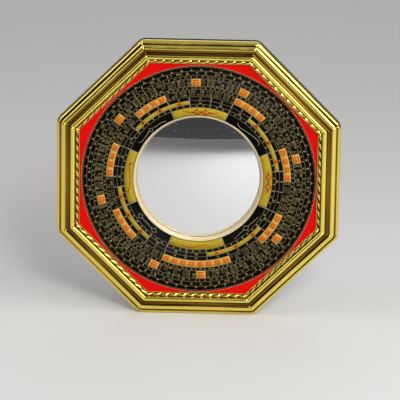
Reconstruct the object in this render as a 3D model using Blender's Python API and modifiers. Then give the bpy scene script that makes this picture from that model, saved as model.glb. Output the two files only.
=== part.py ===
# Bagua mirror: an octagonal gilt frame round a printed dial and a convex mirror.
# Metres, +Z up. It stands on its bottom rail and faces -Y, and its origin is the
# middle of the flat that it stands on. Heights are measured from the frame's back
# towards the viewer, and insets from the frame's outer edge towards its middle.

from math import asin, copysign, cos, pi, radians, sin, tan

import bmesh
import bpy
from mathutils import Matrix, Vector

# The octagon
SIDES = 8
TURN = 2 * pi / SIDES
ACROSS_FLATS = 0.250
APOTHEM = ACROSS_FLATS / 2
CORNER_RADIUS = 0.009
CLEARANCE = 0.0003

# What the rebate holds, from the back: the backing board, and on it the foam tape
# and the convex mirror, which lies in a recess behind the dial's face
BOARD_THICKNESS = 0.0030
TAPE_WIDTH = 0.0038
TAPE_THICKNESS = 0.0008
TAPE_SETBACK = 0.0004
MIRROR_RADIUS = 0.0560
MIRROR_THICKNESS = 0.0018
MIRROR_CURVE = 0.275
MIRROR_RECESS = 0.0060
DIAL_THICKNESS = 0.0012
STACK_LOW = BOARD_THICKNESS + CLEARANCE
MIRROR_LOW = STACK_LOW + TAPE_THICKNESS + CLEARANCE
MIRROR_RIM = MIRROR_LOW + MIRROR_THICKNESS
DIAL_FRONT = MIRROR_RIM + MIRROR_RECESS
DIAL_LOW = DIAL_FRONT - DIAL_THICKNESS
REBATE_HEIGHT = DIAL_FRONT + CLEARANCE
ROUND_STEPS = 96

# The ring that lines the recess: a bush with a lip over the mirror's rim
RING_WALL = 0.0012
RING_LIP = 0.0012
RING_LIP_EDGE = 0.0004
RING_ROUND = 0.0005
RING_PROUD = 0.0004
RING_BORE = MIRROR_RADIUS + CLEARANCE
RING_RADIUS = RING_BORE + RING_WALL

# The moulding's face, from the outside in: each member's width, how far its inner
# edge rises above the rebate, and how far it bulges (or, below zero, sinks in)
LIP_WIDTH = 0.0029
LIP_RISE = 0.0015
LIP_BULGE = 0.0008
QUIRK_WIDTH = 0.0010
QUIRK_RISE = 0.0015
QUIRK_BULGE = -0.0008
BEAD_WIDTH = 0.0044
BEAD_RISE = 0.0033
BEAD_BULGE = 0.0012
COVE_WIDTH = 0.0034
COVE_RISE = 0.0037
COVE_BULGE = -0.0011
CREST_WIDTH = 0.0050
CREST_RISE = 0.0033
CREST_BULGE = 0.0022
ROPE_WIDTH = 0.0027
ROPE_RISE = 0.0015
ROPE_BULGE = 0.0009
SIGHT_WIDTH = 0.0008
FACE = (
    (LIP_WIDTH, LIP_RISE, LIP_BULGE),
    (QUIRK_WIDTH, QUIRK_RISE, QUIRK_BULGE),
    (BEAD_WIDTH, BEAD_RISE, BEAD_BULGE),
    (COVE_WIDTH, COVE_RISE, COVE_BULGE),
    (CREST_WIDTH, CREST_RISE, CREST_BULGE),
    (ROPE_WIDTH, ROPE_RISE, ROPE_BULGE),
)
MEMBER_STEPS = 6
RAIL_WIDTH = sum(member[0] for member in FACE) + SIGHT_WIDTH
REBATE_WIDTH = 0.0052
FOOT_WIDTH = RAIL_WIDTH - REBATE_WIDTH
PANEL_APOTHEM = APOTHEM - FOOT_WIDTH - CLEARANCE

# The moulding's outer side: bevelled towards the back, then a flat, which it stands on
SIDE_BEVEL = 0.0018
SIDE_LOW = 0.0035
SIDE_DROP = 0.0020
SIDE_HIGH = REBATE_HEIGHT - SIDE_DROP
BACK = (SIDE_LOW + SIDE_HIGH) / 2

# The V-nails across the mitres
NAIL_LEG = 0.0055
NAIL_THICKNESS = 0.0006
NAIL_SPLAY = radians(50)
NAIL_DEPTH = 0.0055
NAIL_INSET = 0.0090

# Turn buttons and the screws that they turn on
BUTTON_REACH = 0.0150
BUTTON_RADIUS = 0.0040
BUTTON_THICKNESS = 0.0012
BUTTON_INSET = 0.0080
SCREW_RADIUS = 0.0013
SCREW_LENGTH = 0.0060
SCREW_POINT = 0.0015
HEAD_RADIUS = 0.0027
HEAD_HEIGHT = 0.0014
SLOT_WIDTH = 0.0007
SLOT_DEPTH = 0.0007
SCREW_STEPS = 24

# The hanger: a strap rolled into an eye, and a wire loop that swings in it
STRAP_WIDTH = 0.0070
STRAP_LENGTH = 0.0120
STRAP_THICKNESS = 0.0008
LOOP_WIRE = 0.0016
LOOP_WIDTH = 0.0150
LOOP_LENGTH = 0.0205
LOOP_SHOULDER = 0.0022
EYE_BORE = LOOP_WIRE / 2 + CLEARANCE
EYE_TURN = radians(270)
EYE_STEPS = 12
HANGER_INSET = 0.0230
HANGER_SCREW_DROP = 0.0072
HANGER_SCREW_LENGTH = 0.0036

OVERRUN = 0.0010

RAIL_NAMES = (
    "rail_top",
    "rail_top_right",
    "rail_right",
    "rail_bottom_right",
    "rail_bottom",
    "rail_bottom_left",
    "rail_left",
    "rail_top_left",
)


def clear_scene():
    for item in list(bpy.data.objects):
        bpy.data.objects.remove(item, do_unlink=True)


def make_collection(name):
    collection = bpy.data.collections.new(name)
    bpy.context.scene.collection.children.link(collection)
    return collection


def make_material(name, colour, roughness, metallic):
    material = bpy.data.materials.new(name)
    material.use_nodes = True
    shader = material.node_tree.nodes["Principled BSDF"]
    shader.inputs["Base Color"].default_value = (*colour, 1)
    shader.inputs["Roughness"].default_value = roughness
    shader.inputs["Metallic"].default_value = metallic
    return material


def at_height(height):
    return BACK - height


def arc_points(centre, radius, first, last, steps):
    turns = [first + (last - first) * step / steps for step in range(steps + 1)]
    return [(centre[0] + radius * cos(turn), centre[1] + radius * sin(turn)) for turn in turns]


# The points of a circular arc from start to end that stands `bulge` off the chord
def bulged(start, end, bulge, steps):
    run = Vector(end) - Vector(start)
    half = run.length / 2
    radius = (half ** 2 + bulge ** 2) / (2 * abs(bulge))
    side = Vector((-run.y, run.x)).normalized() * copysign(1, bulge)
    centre = Vector(start) + run / 2 - side * (radius - abs(bulge))
    reach = 2 * asin(min(1, half / radius)) * copysign(1, bulge)
    arm = Vector(start) - centre
    turns = [-reach * step / steps for step in range(1, steps + 1)]
    return [tuple(centre + Matrix.Rotation(turn, 2) @ arm) for turn in turns]


def moulding_outline():
    outline = [(SIDE_BEVEL, 0), (0, SIDE_LOW), (0, SIDE_HIGH)]
    for width, rise, bulge in FACE:
        end = (outline[-1][0] + width, REBATE_HEIGHT + rise)
        outline += bulged(outline[-1], end, bulge, MEMBER_STEPS)
    outline.append((RAIL_WIDTH, outline[-1][1]))
    outline.append((RAIL_WIDTH, REBATE_HEIGHT))
    outline.append((FOOT_WIDTH, REBATE_HEIGHT))
    outline.append((FOOT_WIDTH, 0))
    return outline


# Where a rail ends, so far in from the octagon's outer edge
def mitre_reach(inset):
    return (APOTHEM - inset) * tan(TURN / 2) - CLEARANCE / 2 / cos(TURN / 2)


def octagon(apothem):
    radius = apothem / cos(TURN / 2)
    corners = [TURN * (side + 1 / 2) for side in range(SIDES)]
    return [(radius * sin(turn), radius * cos(turn)) for turn in corners]


# A flat outline in X and Z, given thickness from one height to another
def prism(outline, low, high):
    bm = bmesh.new()
    face = bm.faces.new([bm.verts.new((x, at_height(low), z)) for x, z in outline])
    grown = bmesh.ops.extrude_face_region(bm, geom=[face])["geom"]
    moved = [item for item in grown if isinstance(item, bmesh.types.BMVert)]
    bmesh.ops.translate(bm, verts=moved, vec=(0, low - high, 0))
    bmesh.ops.recalc_face_normals(bm, faces=bm.faces)
    return bm


def mesh_object(name, bm, material, collection, parent):
    mesh = bpy.data.meshes.new(name)
    bm.to_mesh(mesh)
    bm.free()
    part = bpy.data.objects.new(name, mesh)
    part.parent = parent
    collection.objects.link(part)
    if material:
        mesh.materials.append(material)
    else:
        part.hide_render = True
        part.display_type = "WIRE"
    return part


def boolean(part, cutter, operation="DIFFERENCE"):
    modifier = part.modifiers.new(cutter.name, "BOOLEAN")
    modifier.operation = operation
    modifier.solver = "EXACT"
    modifier.object = cutter


# A body turned about its local Z, from a profile of radius and height that
# runs down its outer side; closed profiles are rings
def turned(name, profile, closed, steps, material, collection, parent):
    bm = bmesh.new()
    verts = [bm.verts.new((radius, 0, height)) for radius, height in profile]
    pairs = list(zip(verts, verts[1:]))
    if closed:
        pairs.append((verts[-1], verts[0]))
    for pair in pairs:
        bm.edges.new(pair)
    part = mesh_object(name, bm, material, collection, parent)
    screw = part.modifiers.new("turn", "SCREW")
    screw.axis = "Z"
    screw.steps = steps
    screw.render_steps = steps
    screw.use_merge_vertices = True
    screw.merge_threshold = 0.00001
    screw.use_smooth_shade = True
    return part


def make_rail(name, side, gilt, envelope, parts, centre):
    bm = bmesh.new()
    section = [(-1, at_height(height), APOTHEM - inset) for inset, height in moulding_outline()]
    face = bm.faces.new([bm.verts.new(point) for point in section])
    grown = bmesh.ops.extrude_face_region(bm, geom=[face])["geom"]
    moved = [item for item in grown if isinstance(item, bmesh.types.BMVert)]
    bmesh.ops.translate(bm, verts=moved, vec=(2, 0, 0))
    for vert in bm.verts:
        vert.co.x = copysign(mitre_reach(APOTHEM - vert.co.z), vert.co.x)
    bmesh.ops.recalc_face_normals(bm, faces=bm.faces)
    rail = mesh_object(name, bm, gilt, parts, centre)
    rail.rotation_euler = (0, TURN * side, 0)
    boolean(rail, envelope, "INTERSECT")
    return rail


# The rounded octagon that the rails' outer corners are eased to. Its flats
# stand just outside the rails', so that only the corners are cut.
def make_envelope(cutters, centre):
    radius = (APOTHEM - CORNER_RADIUS) / cos(TURN / 2) + CLEARANCE / 2
    outline = []
    for side in range(SIDES):
        corner = pi / 2 - TURN * (side + 1 / 2)
        middle = (radius * cos(corner), radius * sin(corner))
        outline += arc_points(middle, CORNER_RADIUS, corner + TURN / 2, corner - TURN / 2, MEMBER_STEPS)
    height = REBATE_HEIGHT + COVE_RISE + CREST_WIDTH
    return mesh_object("envelope", prism(outline, -OVERRUN, height), None, cutters, centre)


# The V of a nail, seen from behind, with its point on the mitre
def nail_outline(margin):
    half = NAIL_THICKNESS / 2 + margin
    along = Vector((sin(NAIL_SPLAY), cos(NAIL_SPLAY))) * (NAIL_LEG + margin)
    across = Vector((cos(NAIL_SPLAY), -sin(NAIL_SPLAY))) * half
    right = [along + across, along - across]
    left = [Vector((-point.x, point.y)) for point in reversed(right)]
    return [(0, -half / sin(NAIL_SPLAY)), *right, (0, half / sin(NAIL_SPLAY)), *left]


def make_corner_nails(rails, steel, parts, cutters, centre):
    for side in range(SIDES):
        turn = TURN * (side + 1 / 2)
        distance = (APOTHEM - NAIL_INSET) / cos(TURN / 2)
        place = Vector((distance * sin(turn), 0, distance * cos(turn)))
        nail_mesh = prism(nail_outline(0), 0, NAIL_DEPTH)
        nail = mesh_object(f"corner_nail_{side + 1}", nail_mesh, steel, parts, centre)
        slot_mesh = prism(nail_outline(CLEARANCE), -OVERRUN, NAIL_DEPTH + CLEARANCE)
        slot = mesh_object(f"nail_slot_{side + 1}", slot_mesh, None, cutters, centre)
        for piece in (nail, slot):
            piece.location = place
            piece.rotation_euler = (0, turn, 0)
        boolean(rails[side], slot)
        boolean(rails[(side + 1) % SIDES], slot)


# A round hole through what lies between two heights
def make_hole(name, place, radius, steps, low, high, cutters, centre):
    outline = arc_points((0, 0), radius, 0, 2 * pi, steps)[:-1]
    hole = mesh_object(name, prism(outline, low, high), None, cutters, centre)
    hole.location = (place[0], 0, place[1])
    return hole


# The print and the board that it is glued to have a hole for the ring
def make_panels(print_material, board_material, parts, cutters, centre):
    outline = octagon(PANEL_APOTHEM)
    dial = mesh_object("dial_plate", prism(outline, DIAL_LOW, DIAL_FRONT), print_material, parts, centre)
    front_mesh = prism(outline, STACK_LOW, DIAL_LOW - CLEARANCE)
    front_board = mesh_object("dial_board", front_mesh, board_material, parts, centre)
    hole_radius = RING_RADIUS + CLEARANCE
    ends = (STACK_LOW - OVERRUN, DIAL_FRONT + OVERRUN)
    hole = make_hole("mirror_hole", (0, 0), hole_radius, ROUND_STEPS, *ends, cutters, centre)
    boolean(dial, hole)
    boolean(front_board, hole)
    board_mesh = prism(outline, 0, BOARD_THICKNESS)
    return mesh_object("backing_board", board_mesh, board_material, parts, centre)


def dome_height(radius, curve):
    return (curve ** 2 - radius ** 2) ** 0.5 - (curve ** 2 - MIRROR_RADIUS ** 2) ** 0.5


# The ring's section: a funnel from its rounded crown down to the lip over the
# mirror's rim, and a straight wall outside, which stands on the backing board
def ring_section():
    crown = (RING_RADIUS - RING_ROUND, DIAL_FRONT + RING_PROUD - RING_ROUND)
    lip_radius = RING_BORE - RING_LIP
    lip_low = MIRROR_RIM + dome_height(lip_radius, MIRROR_CURVE) + CLEARANCE
    section = [(lip_radius, lip_low), (lip_radius, lip_low + RING_LIP_EDGE)]
    section += arc_points(crown, RING_ROUND, pi, 0, MEMBER_STEPS)
    section += [(RING_RADIUS, STACK_LOW), (RING_BORE, STACK_LOW), (RING_BORE, MIRROR_RIM + CLEARANCE)]
    return section


# The mirror is a shallow dome of even thickness, set on a ring of foam tape
def make_mirror(glass, ring_material, foam, parts, centre):
    shares = [step / MEMBER_STEPS for step in range(MEMBER_STEPS + 1)]
    radii = [MIRROR_RADIUS * share for share in shares]
    front = [(radius, MIRROR_RIM + dome_height(radius, MIRROR_CURVE)) for radius in radii]
    rear_curve = MIRROR_CURVE - MIRROR_THICKNESS
    rear = [(radius, MIRROR_LOW + dome_height(radius, rear_curve)) for radius in reversed(radii)]
    tape_outer = MIRROR_RADIUS - TAPE_SETBACK
    tape_inner = tape_outer - TAPE_WIDTH
    tape_high = STACK_LOW + TAPE_THICKNESS
    tape = [(tape_outer, tape_high), (tape_outer, STACK_LOW)]
    tape += [(tape_inner, STACK_LOW), (tape_inner, tape_high)]
    pieces = (
        turned("mirror_glass", front + rear, False, ROUND_STEPS, glass, parts, centre),
        turned("mirror_tape", tape, True, ROUND_STEPS, foam, parts, centre),
        turned("mirror_ring", ring_section(), True, ROUND_STEPS, ring_material, parts, centre),
    )
    for piece in pieces:
        piece.location.y = BACK
        piece.rotation_euler.x = pi / 2


# A round-headed wood screw that points towards the viewer, driven from the back.
# Its seat is the height of the surface that its head bears on.
def make_screw(name, place, seat, length, steel, parts, cutters, centre):
    head_seat = seat - CLEARANCE
    head_top = head_seat - HEAD_HEIGHT
    dome = arc_points((0, 0), 1, pi / 2, 0, MEMBER_STEPS)
    profile = [(0, seat + length)]
    profile.append((SCREW_RADIUS, seat + length - SCREW_POINT))
    profile.append((SCREW_RADIUS, head_seat))
    profile += [(HEAD_RADIUS * x, head_seat - HEAD_HEIGHT * y) for x, y in reversed(dome)]
    screw = turned(name, profile, False, SCREW_STEPS, steel, parts, centre)
    reach = HEAD_RADIUS + OVERRUN
    half = SLOT_WIDTH / 2
    slot = [(-reach, -half), (reach, -half), (reach, half), (-reach, half)]
    slot_mesh = prism(slot, head_top - OVERRUN, head_top + SLOT_DEPTH)
    cutter = mesh_object(f"{name}_slot", slot_mesh, None, cutters, centre)
    screw.location = (place[0], BACK, place[1])
    screw.rotation_euler.x = pi / 2
    cutter.location = (place[0], 0, place[1])
    boolean(screw, cutter)


def make_pilot(name, place, low, high, cutters, centre):
    return make_hole(name, place, SCREW_RADIUS + CLEARANCE, SCREW_STEPS, low, high, cutters, centre)


def add_spline(curve, points, cyclic):
    spline = curve.splines.new("POLY")
    spline.points.add(len(points) - 1)
    for place, point in zip(spline.points, points):
        place.co = (*point, 1)
    spline.use_cyclic_u = cyclic


# A turn button is a flat strip with round ends. Its origin is on its screw.
def make_turn_button(name, turn, steel, parts, cutters, rail, centre):
    distance = APOTHEM - BUTTON_INSET
    place = (distance * sin(turn), distance * cos(turn))
    curve = bpy.data.curves.new(name, "CURVE")
    curve.dimensions = "2D"
    curve.fill_mode = "BOTH"
    curve.extrude = BUTTON_THICKNESS / 2
    tip = (0, -BUTTON_REACH + BUTTON_RADIUS)
    outline = arc_points((0, 0), BUTTON_RADIUS, 0, pi, MEMBER_STEPS * 2)
    outline += arc_points(tip, BUTTON_RADIUS, pi, 2 * pi, MEMBER_STEPS * 2)
    hole = arc_points((0, 0), SCREW_RADIUS + CLEARANCE, 0, 2 * pi, SCREW_STEPS)[:-1]
    add_spline(curve, [(*point, 0) for point in outline], True)
    add_spline(curve, [(*point, 0) for point in hole], True)
    curve.materials.append(steel)
    button = bpy.data.objects.new(f"turn_button_{name}", curve)
    parts.objects.link(button)
    button.parent = centre
    button.location = (place[0], at_height(-CLEARANCE - BUTTON_THICKNESS / 2), place[1])
    button.rotation_euler = (pi / 2, turn, 0)
    seat = -CLEARANCE - BUTTON_THICKNESS
    screw_name = f"turn_button_screw_{name}"
    make_screw(screw_name, place, seat, SCREW_LENGTH, steel, parts, cutters, centre)
    depth = seat + SCREW_LENGTH + CLEARANCE
    boolean(rail, make_pilot(f"pilot_{name}", place, -OVERRUN, depth, cutters, centre))


# The strap lies on the board, and its upper end rolls round the loop's wire
def make_hanger(board, brass, steel, parts, cutters, centre):
    eye_curve = EYE_BORE + STRAP_THICKNESS / 2
    strap_line = CLEARANCE + STRAP_THICKNESS / 2
    eye_z = APOTHEM - HANGER_INSET
    path = [(strap_line, -STRAP_LENGTH)]
    path += arc_points((strap_line + eye_curve, 0), eye_curve, pi, pi - EYE_TURN, EYE_STEPS)
    bm = bmesh.new()
    verts = [bm.verts.new((-STRAP_WIDTH / 2, out, z)) for out, z in path]
    edges = [bm.edges.new(pair) for pair in zip(verts, verts[1:])]
    grown = bmesh.ops.extrude_edge_only(bm, edges=edges)["geom"]
    moved = [item for item in grown if isinstance(item, bmesh.types.BMVert)]
    bmesh.ops.translate(bm, verts=moved, vec=(STRAP_WIDTH, 0, 0))
    strap = mesh_object("hanger_strap", bm, brass, parts, centre)
    strap.location = (0, BACK, eye_z)
    solidify = strap.modifiers.new("thickness", "SOLIDIFY")
    solidify.thickness = STRAP_THICKNESS
    solidify.offset = 0
    solidify.use_even_offset = True

    screw_place = (0, eye_z - HANGER_SCREW_DROP)
    seat = -CLEARANCE - STRAP_THICKNESS
    depth = seat + HANGER_SCREW_LENGTH + CLEARANCE
    pilot_low = seat - OVERRUN
    pilot = make_pilot("pilot_hanger", screw_place, pilot_low, depth, cutters, centre)
    boolean(strap, pilot)
    boolean(board, pilot)
    make_screw("hanger_screw", screw_place, seat, HANGER_SCREW_LENGTH, steel, parts, cutters, centre)

    half = (LOOP_WIDTH - LOOP_WIRE) / 2
    low = LOOP_WIRE - LOOP_LENGTH
    bow = half - LOOP_SHOULDER
    route = arc_points((half - LOOP_SHOULDER, -LOOP_SHOULDER), LOOP_SHOULDER, pi / 2, 0, MEMBER_STEPS)
    route += arc_points((half - bow, low + bow), bow, 0, -pi / 2, MEMBER_STEPS)
    route += [(-x, z) for x, z in reversed(route)]
    curve = bpy.data.curves.new("hanger_loop", "CURVE")
    curve.dimensions = "3D"
    curve.bevel_depth = LOOP_WIRE / 2
    curve.bevel_resolution = 2
    curve.use_fill_caps = True
    add_spline(curve, [(x, 0, z) for x, z in route], True)
    curve.materials.append(brass)
    loop = bpy.data.objects.new("hanger_loop", curve)
    parts.objects.link(loop)
    loop.parent = centre
    loop.location = (0, BACK + strap_line + eye_curve, eye_z)


def main():
    clear_scene()
    parts = make_collection("bagua_mirror")
    cutters = make_collection("cutters")
    centre = bpy.data.objects.new("octagon_centre", None)
    centre.location.z = APOTHEM
    parts.objects.link(centre)

    gilt = make_material("gilt_moulding", (0.72, 0.50, 0.09), 0.18, 1.0)
    print_material = make_material("printed_dial", (0.015, 0.014, 0.012), 0.45, 0.0)
    board_material = make_material("backing_board", (0.30, 0.19, 0.10), 0.75, 0.0)
    glass = make_material("silvered_glass", (0.90, 0.91, 0.92), 0.02, 1.0)
    ring_material = make_material("pale_ring", (0.86, 0.76, 0.55), 0.30, 0.0)
    foam = make_material("foam_tape", (0.80, 0.80, 0.78), 0.90, 0.0)
    steel = make_material("bright_steel", (0.62, 0.62, 0.63), 0.35, 1.0)
    brass = make_material("brass_plate", (0.66, 0.47, 0.17), 0.35, 1.0)

    envelope = make_envelope(cutters, centre)
    rails = [
        make_rail(name, side, gilt, envelope, parts, centre)
        for side, name in enumerate(RAIL_NAMES)
    ]
    make_corner_nails(rails, steel, parts, cutters, centre)
    board = make_panels(print_material, board_material, parts, cutters, centre)
    make_mirror(glass, ring_material, foam, parts, centre)
    for side in range(1, SIDES, 2):
        name = RAIL_NAMES[side].removeprefix("rail_")
        make_turn_button(name, TURN * side, steel, parts, cutters, rails[side], centre)
    make_hanger(board, brass, steel, parts, cutters, centre)


main()
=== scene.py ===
import random
from math import asin, copysign, cos, degrees, pi, radians, sin, tan

import bmesh
import bpy
from mathutils import Matrix, Quaternion, Vector


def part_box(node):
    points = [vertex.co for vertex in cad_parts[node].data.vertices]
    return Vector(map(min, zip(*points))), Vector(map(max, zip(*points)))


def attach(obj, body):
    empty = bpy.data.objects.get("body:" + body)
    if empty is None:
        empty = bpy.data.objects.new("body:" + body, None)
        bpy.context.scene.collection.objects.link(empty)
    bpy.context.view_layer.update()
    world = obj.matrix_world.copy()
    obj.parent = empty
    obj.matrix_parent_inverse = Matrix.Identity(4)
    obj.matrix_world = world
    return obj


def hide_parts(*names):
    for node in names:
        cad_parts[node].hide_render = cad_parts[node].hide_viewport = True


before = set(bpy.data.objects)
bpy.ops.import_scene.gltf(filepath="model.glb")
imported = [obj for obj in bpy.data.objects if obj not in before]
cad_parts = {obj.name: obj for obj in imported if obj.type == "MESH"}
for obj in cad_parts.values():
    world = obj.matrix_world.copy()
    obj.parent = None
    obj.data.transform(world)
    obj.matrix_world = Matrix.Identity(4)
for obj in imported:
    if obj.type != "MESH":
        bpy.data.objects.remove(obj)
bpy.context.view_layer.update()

# The bench: pieces are made lying on their backs, in millimetres, with the octagon's
# centre at the origin and z the height above the frame's back. Then they are stood up.
unit = 0.001
sides = 8
turn = 2 * pi / sides
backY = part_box("backing_board")[1].y
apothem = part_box("rail_top")[1].z / 2 / unit
dialFace = (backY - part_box("dial_plate")[0].y) / unit
standUp = Matrix.Translation((0, backY, apothem * unit)) @ Matrix.Rotation(pi / 2, 4, "X")
standUp = standUp @ Matrix.Scale(unit, 4)
faceMiddle = Vector((0, backY - dialFace * unit, apothem * unit))    # of the dial, stood up


def addObject(name, data):
    thing = bpy.data.objects.new(name, data)
    bpy.context.scene.collection.objects.link(thing)
    return thing


def newPiece(name, bm, materials, sharp, nodes=(), body="frame"):
    bm.transform(standUp)
    mesh = bpy.data.meshes.new(name)
    bm.to_mesh(mesh)
    bm.free()
    for material in materials:
        mesh.materials.append(material)
    mesh.shade_smooth()
    mesh.set_sharp_from_angle(angle=radians(sharp))
    piece = addObject(name, mesh)
    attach(piece, body)
    if nodes:
        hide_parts(*nodes)
    return piece


# A socket is fed by another node's output, or holds a plain value
def setSocket(tree, socket, value):
    if isinstance(value, bpy.types.NodeSocket):
        tree.links.new(value, socket)
    else:
        socket.default_value = value


def newNode(tree, kind, inputs, **settings):
    node = tree.nodes.new("ShaderNode" + kind)
    for setting, value in settings.items():
        setattr(node, setting, value)
    for label, value in inputs.items():
        setSocket(tree, node.inputs[label], value)
    return node


def addMath(tree, operation, *values, clamp=False):
    return newNode(tree, "Math", dict(enumerate(values)), operation=operation, use_clamp=clamp).outputs[0]


# Shader node groups that several finishes share
def newGroup(name, settings, results):
    group = bpy.data.node_groups.new(name, "ShaderNodeTree")
    group.interface.new_socket(name="Vector", in_out="INPUT", socket_type="NodeSocketVector")
    for label, value in settings.items():
        socket = group.interface.new_socket(name=label, in_out="INPUT", socket_type="NodeSocketFloat")
        socket.default_value = value
    for label in results:
        group.interface.new_socket(name=label, in_out="OUTPUT", socket_type="NodeSocketFloat")
    return group, group.nodes.new("NodeGroupInput").outputs, group.nodes.new("NodeGroupOutput").inputs


grain = {"detail": 3.0, "fineScale": 5.3, "fineDetail": 2.0}


# Two sizes of noise: the coarse one masks the mottling, and both together are the bump
def makeGrainGroup():
    group, given, result = newGroup("surfaceGrain", {"Scale": 400.0, "Low": 0.35, "High": 0.65},
                                    ("Mask", "Height"))
    fineScale = addMath(group, "MULTIPLY", given["Scale"], grain["fineScale"])
    coarse = newNode(group, "TexNoise", {"Vector": given["Vector"], "Scale": given["Scale"],
                                         "Detail": grain["detail"]})
    fine = newNode(group, "TexNoise", {"Vector": given["Vector"], "Scale": fineScale,
                                       "Detail": grain["fineDetail"]})
    mask = newNode(group, "MapRange", {"Value": coarse.outputs["Fac"], "From Min": given["Low"],
                                       "From Max": given["High"]})
    both = addMath(group, "ADD", coarse.outputs["Fac"], fine.outputs["Fac"])
    setSocket(group, result["Mask"], mask.outputs["Result"])
    setSocket(group, result["Height"], addMath(group, "MULTIPLY", both, 0.5))
    return group


# Scattered specks, each a small dot in one of the cells
def makeSpeckGroup():
    group, given, result = newGroup("scatteredSpecks", {"Scale": 300.0, "Size": 0.12, "Share": 0.2},
                                    ("Mask",))
    cells = newNode(group, "TexVoronoi", {"Vector": given["Vector"], "Scale": given["Scale"]})
    pick = newNode(group, "SeparateColor", {"Color": cells.outputs["Color"]}).outputs["Red"]
    near = addMath(group, "LESS_THAN", cells.outputs["Distance"], given["Size"])
    rare = addMath(group, "LESS_THAN", pick, given["Share"])
    setSocket(group, result["Mask"], addMath(group, "MULTIPLY", near, rare))
    return group


grainGroup = makeGrainGroup()
speckGroup = makeSpeckGroup()


def feed(tree, label, value):
    setSocket(tree, tree.nodes["Principled BSDF"].inputs[label], value)


def newFinish(name, colour, roughness, metallic=0.0):
    material = bpy.data.materials.new(name)
    material.use_nodes = True
    feed(material.node_tree, "Base Color", (*colour, 1))
    feed(material.node_tree, "Roughness", roughness)
    feed(material.node_tree, "Metallic", metallic)
    return material, material.node_tree


def objectPlace(tree, scale=(1, 1, 1)):
    where = newNode(tree, "TexCoord", {}).outputs["Object"]
    return newNode(tree, "Mapping", {"Vector": where, "Scale": scale}).outputs["Vector"]


def addGrain(tree, vector, scale, low, high):
    inputs = {"Vector": vector, "Scale": scale, "Low": low, "High": high}
    made = newNode(tree, "Group", inputs, node_tree=grainGroup).outputs
    return made["Mask"], made["Height"]


def addSpecks(tree, vector, scale, size, share):
    inputs = {"Vector": vector, "Scale": scale, "Size": size, "Share": share}
    return newNode(tree, "Group", inputs, node_tree=speckGroup).outputs["Mask"]


def mixColours(tree, mask, first, second):
    if not isinstance(first, bpy.types.NodeSocket):
        first = (*first, 1)
    inputs = {"Factor": mask, "A": first, "B": (*second, 1)}
    return newNode(tree, "Mix", inputs, data_type="RGBA").outputs["Result"]


def spreadValue(tree, mask, low, high):
    return newNode(tree, "MapRange", {"Value": mask, "To Min": low, "To Max": high}).outputs["Result"]


def addBump(tree, height, distance, strength):
    bump = newNode(tree, "Bump", {"Height": height, "Distance": distance, "Strength": strength})
    feed(tree, "Normal", bump.outputs["Normal"])


# How much painted shade the mesh gives a point, from 0 to 1: in the moulding's grooves,
# between its rope's lobes and at its mitre ends, and on the floor of a screw's slot
def paintedShadeValue(tree):
    return newNode(tree, "Attribute", {}, attribute_name="paintedShade").outputs["Fac"]


# Bright gold foil on plastic, drawn along each length, with painted shade in the grooves,
# between the rope's lobes and at the mitre ends, brown and then near black and with less
# lacquer, and small chips where it stands proud
gilt = {
    "light": (0.93, 0.78, 0.18), "deep": (0.86, 0.64, 0.06), "brownShade": (0.30, 0.15, 0.012),
    "recessShade": (0.05, 0.025, 0.004), "smooth": 0.08, "dull": 0.18, "lacquer": 0.5, "lacquerRoughness": 0.06,
    "streakStretch": (2.5, 700, 1), "streakGrain": (1.0, 0.35, 0.7), "streakRelief": (0.00002, 0.06),
    "patchGrain": (60.0, 0.4, 0.7), "chip": (0.56, 0.43, 0.19), "chipCells": 110, "chipShare": 0.5,
    "chipReach": (0.02, 0.16), "chipEdge": (1100, 0.3, 0.7), "chipMetal": 0.1, "chipDull": 0.35,
}


def makeGilt():
    material, tree = newFinish("giltFoil", gilt["light"], gilt["smooth"], 1.0)
    feed(tree, "Coat Roughness", gilt["lacquerRoughness"])
    along = newNode(tree, "UVMap", {}, uv_map="along").outputs["UV"]
    stretch = newNode(tree, "Mapping", {"Vector": along, "Scale": gilt["streakStretch"]})
    streaks, relief = addGrain(tree, stretch.outputs["Vector"], *gilt["streakGrain"])
    place, groove = objectPlace(tree), paintedShadeValue(tree)
    patches = addGrain(tree, place, *gilt["patchGrain"])[0]
    ragged = addGrain(tree, place, *gilt["chipEdge"])[0]
    golds = mixColours(tree, streaks, gilt["light"], gilt["deep"])
    # painted shade: brown over the first half of the shade value, then near black
    brownShade = mixColours(tree, spreadValue(tree, groove, 0, 2), golds, gilt["brownShade"])
    shadedGold = mixColours(tree, spreadValue(tree, groove, -1, 1), brownShade, gilt["recessShade"])
    reach = spreadValue(tree, ragged, *gilt["chipReach"])
    chips = addSpecks(tree, place, gilt["chipCells"], reach, gilt["chipShare"])
    bare = addMath(tree, "MULTIPLY", chips, spreadValue(tree, groove, 1, -1), clamp=True)
    worn = spreadValue(tree, patches, gilt["smooth"], gilt["dull"])
    feed(tree, "Base Color", mixColours(tree, bare, shadedGold, gilt["chip"]))
    feed(tree, "Metallic", spreadValue(tree, bare, 1, gilt["chipMetal"]))
    feed(tree, "Coat Weight", spreadValue(tree, groove, gilt["lacquer"], 0))
    feed(tree, "Roughness", addMath(tree, "MULTIPLY_ADD", bare, gilt["chipDull"], worn))
    addBump(tree, relief, *gilt["streakRelief"])
    return material


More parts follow.
